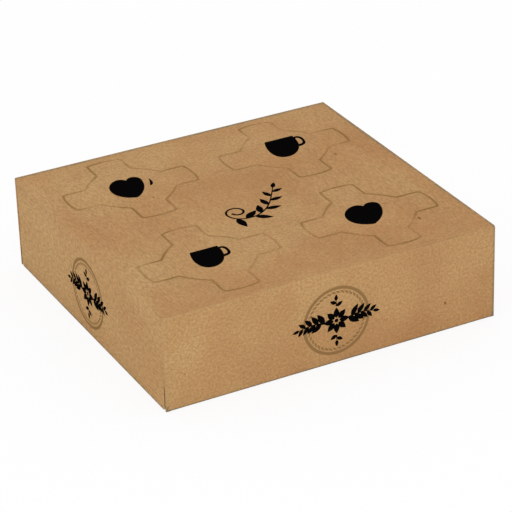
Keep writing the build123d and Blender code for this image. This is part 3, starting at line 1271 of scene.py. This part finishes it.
class CARRIER_OT_print_wall_badges(Operator):
    """Print a ring of leaves with a leafy garland across it on the front and left walls"""

    bl_idname = "carrier.print_wall_badges"
    bl_label = "Print wall badges"

    def ring_mesh(self, settings):
        """Plain ring with a wreath of small leaves running round inside it."""
        ink = settings.carrier_print
        inner = ink.badge_radius - ink.ring_stroke
        ring = film_mesh("ring", [circle_outline(ink.badge_radius), circle_outline(inner)], ink.under_film)
        wreath = {
            "Ring Radius": inner - ink.wreath_inset,
            "Leaves": 40,
            "Leaf Length": 3.6 * MM,
            "Leaf Width": 1.5 * MM,
            "Turn": math.radians(70),
            "Film": ink.under_film,
            "Material": brown_ink(settings),
        }
        return joined("ring", [ring, grow_mesh("wreath", leaf_ring_tree(), wreath)])

    def garland_mesh(self, settings):
        """Rosette with a leafy stem on each side and a small sprout over and under it."""
        print_values = {"Film": settings.carrier_print.film, "Material": black_ink(settings)}
        spray_foot = 8.0 * MM
        spray_tip = 25.0 * MM
        spray_rise = 1.2 * MM
        sprout_foot = 9.8 * MM
        sprout_tip = 13.2 * MM
        eye_radius = 1.3 * MM
        spray_stems = []
        sprout_stems = []
        for side in (1, -1):
            stem = []
            for step in range(STEM_STEPS + 1):
                part = step / STEM_STEPS
                x = spray_foot + (spray_tip - spray_foot) * part
                stem.append((side * x, spray_rise * math.sin(math.pi * part), 0.0))
            spray_stems.append((stem, False))
            sprout_stems.append(([(0.0, side * sprout_foot, 0.0), (0.0, side * sprout_tip, 0.0)], False))
        sprays = {
            "Leaves": 9,
            "Leaf Length": 9.0 * MM,
            "Leaf Width": 4.2 * MM,
            "Leaf Angle": math.radians(44),
            "Tip Share": 0.55,
            "Stem Width": 1.2 * MM,
        }
        sprouts = {
            "Leaves": 3,
            "Leaf Length": 5.0 * MM,
            "Leaf Width": 2.8 * MM,
            "Leaf Angle": math.radians(62),
            "Tip Share": 0.9,
            "Stem Width": 1.0 * MM,
        }
        rosette = {
            "Ring Radius": 1.9 * MM,
            "Leaves": 8,
            "Leaf Length": 6.9 * MM,
            "Leaf Width": 4.2 * MM,
            "Turn": 0.0,
        }
        return joined("garland", [
            grow_mesh("sprays", leaf_stem_tree(), sprays | print_values, spray_stems),
            grow_mesh("sprouts", leaf_stem_tree(), sprouts | print_values, sprout_stems),
            grow_mesh("rosette", leaf_ring_tree(), rosette | print_values),
            film_mesh("rosette_eye", [circle_outline(eye_radius)], settings.carrier_print.film),
        ])

    def execute(self, context):
        settings = context.scene
        ink = settings.carrier_print
        along, up = ink.front_place
        front = face_matrix(Vector((along, -HALF_WIDTH, up)), AXIS_X, AXIS_Z)
        along, up = ink.left_place
        left = face_matrix(Vector((-HALF_LENGTH, along, up)), -AXIS_Y, AXIS_Z)
        for wall, place in (("front", front), ("left", left)):
            ring = self.ring_mesh(settings)
            ring.transform(place)
            finish_piece(f"{wall}_badge_ring", ring, brown_ink(settings))
            garland = self.garland_mesh(settings)
            garland.transform(place)
            finish_piece(f"{wall}_badge_garland", garland, black_ink(settings))
        return {"FINISHED"}


class CARRIER_OT_print_centre_sprig(Operator):
    """Print a curling sprig in the middle of the top panel"""

    bl_idname = "carrier.print_centre_sprig"
    bl_label = "Print centre sprig"

    def execute(self, context):
        settings = context.scene
        ink = settings.carrier_print
        stride = ink.sprig_length / COIL_STEPS
        tightening = 3
        stem = [Vector((0.0, 0.0, 0.0))]
        for step in range(COIL_STEPS):
            heading = ink.sprig_heading - ink.sprig_coil * (1 - step / COIL_STEPS) ** tightening
            stem.append(stem[-1] + stride * Vector((math.cos(heading), math.sin(heading), 0.0)))
        values = {
            "Bare Foot": 0.42,
            "Leaves": 10,
            "Leaf Length": 13.0 * MM,
            "Leaf Width": 5.6 * MM,
            "Leaf Angle": math.radians(46),
            "Tip Share": 0.6,
            "Stem Width": 1.7 * MM,
            "Film": ink.film,
            "Material": black_ink(settings),
        }
        mesh = grow_mesh("centre_sprig", leaf_stem_tree(), values, [(stem, False)])
        low = Vector(map(min, zip(*(vertex.co for vertex in mesh.vertices))))
        high = Vector(map(max, zip(*(vertex.co for vertex in mesh.vertices))))
        middle = Vector((*ink.sprig_place, HEIGHT))
        mesh.transform(face_matrix(middle, AXIS_X, AXIS_Y) @ Matrix.Translation(-(low + high) / 2))
        finish_piece("centre_sprig", mesh, black_ink(settings))
        return {"FINISHED"}


class CARRIER_OT_set_stage(Operator):
    """Set the plain floor, the even light and the camera"""

    bl_idname = "carrier.set_stage"
    bl_label = "Set stage"

    def clear_rays(self, tree):
        """1 for rays that show the background itself: straight to the camera, mirrored or through glass."""
        path = add_node(tree, "ShaderNodeLightPath").outputs
        return larger(*(Wire(path[f"Is {kind} Ray"]) for kind in ("Camera", "Glossy", "Transmission")))

    def add_floor(self, settings):
        """Wide pale floor just under the carrier."""
        stage = settings.carrier_stage
        half = stage.floor_size / 2
        corners = [(x * half, y * half, -stage.floor_drop) for x, y in ((-1, -1), (1, -1), (1, 1), (-1, 1))]
        mesh = bpy.data.meshes.new("floor")
        mesh.from_pydata(corners, [], [(0, 1, 2, 3)])
        material = bpy.data.materials.new("floor")
        material.use_nodes = True
        tree = material.node_tree
        tree.nodes.clear()
        plain = output_of(tree, "ShaderNodeBsdfPrincipled", {
            "Base Color": (*stage.floor_colour, 1.0),
            "Roughness": stage.floor_roughness,
            "Specular IOR Level": 0.0,
        })
        white = output_of(tree, "ShaderNodeEmission", {"Strength": 1.0})
        seen = self.clear_rays(tree) * stage.floor_white
        surface = output_of(tree, "ShaderNodeMixShader", {0: seen, 1: plain, 2: white})
        add_node(tree, "ShaderNodeOutputMaterial", {"Surface": surface})
        mesh.materials.append(material)
        floor = bpy.data.objects.new("floor", mesh)
        settings.collection.objects.link(floor)

    def add_light(self, settings):
        """Even white surroundings and one large soft lamp."""
        stage = settings.carrier_stage
        world = bpy.data.worlds.new("studio")
        world.use_nodes = True
        tree = world.node_tree
        tree.nodes.clear()
        strength = self.clear_rays(tree) * (1.0 - stage.sky) + stage.sky
        inputs = {"Color": (1.0, 1.0, 1.0, 1.0), "Strength": strength}
        backdrop = output_of(tree, "ShaderNodeBackground", inputs)
        add_node(tree, "ShaderNodeOutputWorld", {"Surface": backdrop})
        settings.world = world

        lamp = bpy.data.lights.new("key", "AREA")
        lamp.shape = "DISK"
        lamp.size = stage.key_size
        lamp.energy = stage.key_power
        key = bpy.data.objects.new("key", lamp)
        key.location = stage.key_place
        to_carrier = Vector((0.0, 0.0, HEIGHT / 2)) - key.location
        key.rotation_euler = to_carrier.to_track_quat("-Z", "Y").to_euler()
        settings.collection.objects.link(key)

    def add_camera(self, settings):
        """Long lens at the front left, looking down on the carrier."""
        stage = settings.carrier_stage
        level = Vector((math.cos(stage.azimuth), math.sin(stage.azimuth), 0.0))
        outward = Vector((math.sin(stage.azimuth), -math.cos(stage.azimuth), 0.0))
        back = outward * math.cos(stage.elevation) + AXIS_Z * math.sin(stage.elevation)
        right = level * math.cos(stage.roll) + back.cross(level) * math.sin(stage.roll)
        axes = Matrix((right, back.cross(right), back)).transposed().to_4x4()
        axes.translation = Vector((0.0, 0.0, HEIGHT / 2)) + back * stage.distance
        lens = bpy.data.cameras.new("camera")
        lens.lens = stage.focal_length
        lens.shift_x, lens.shift_y = stage.shift
        camera = bpy.data.objects.new("camera", lens)
        camera.matrix_world = axes
        settings.collection.objects.link(camera)
        settings.camera = camera

    def execute(self, context):
        settings = context.scene
        self.add_floor(settings)
        self.add_light(settings)
        self.add_camera(settings)
        settings.view_settings.view_transform = "Standard"
        return {"FINISHED"}


class CARRIER_PT_sidebar(Panel):
    """Steps that finish the carrier, in order"""

    bl_idname = "CARRIER_PT_sidebar"
    bl_label = "Cup carrier"
    bl_space_type = "VIEW_3D"
    bl_region_type = "UI"
    bl_category = "Carrier"

    def draw(self, context):
        for operator in OPERATORS:
            self.layout.operator(operator.bl_idname)
        for group in SETTINGS:
            box = self.layout.box()
            box.label(text=group.replace("_", " ").capitalize())
            settings = getattr(context.scene, group)
            for name in settings.__annotations__:
                box.prop(settings, name)


OPERATORS = (
    CARRIER_OT_finish_board,
    CARRIER_OT_press_cut_lips,
    CARRIER_OT_print_seat_figures,
    CARRIER_OT_print_wall_badges,
    CARRIER_OT_print_centre_sprig,
    CARRIER_OT_set_stage,
)
SETTINGS = {
    "carrier_kraft": KraftSettings,
    "carrier_cut": CutSettings,
    "carrier_print": PrintSettings,
    "carrier_stage": StageSettings,
}


def register():
    """Adds the classes and their settings to Blender."""
    for group in SETTINGS.values():
        bpy.utils.register_class(group)
    for group, kind in SETTINGS.items():
        setattr(bpy.types.Scene, group, PointerProperty(type=kind))
    for kind in (*OPERATORS, CARRIER_PT_sidebar):
        bpy.utils.register_class(kind)


def unregister():
    """Takes the classes and their settings out of Blender."""
    for kind in reversed((*OPERATORS, CARRIER_PT_sidebar)):
        bpy.utils.unregister_class(kind)
    for group, kind in SETTINGS.items():
        delattr(bpy.types.Scene, group)
        bpy.utils.unregister_class(kind)


def main():
    register()
    bpy.ops.carrier.finish_board()
    bpy.ops.carrier.press_cut_lips()
    bpy.ops.carrier.print_seat_figures()
    bpy.ops.carrier.print_wall_badges()
    bpy.ops.carrier.print_centre_sprig()
    bpy.ops.carrier.set_stage()


if __name__ == "__main__":
    main()
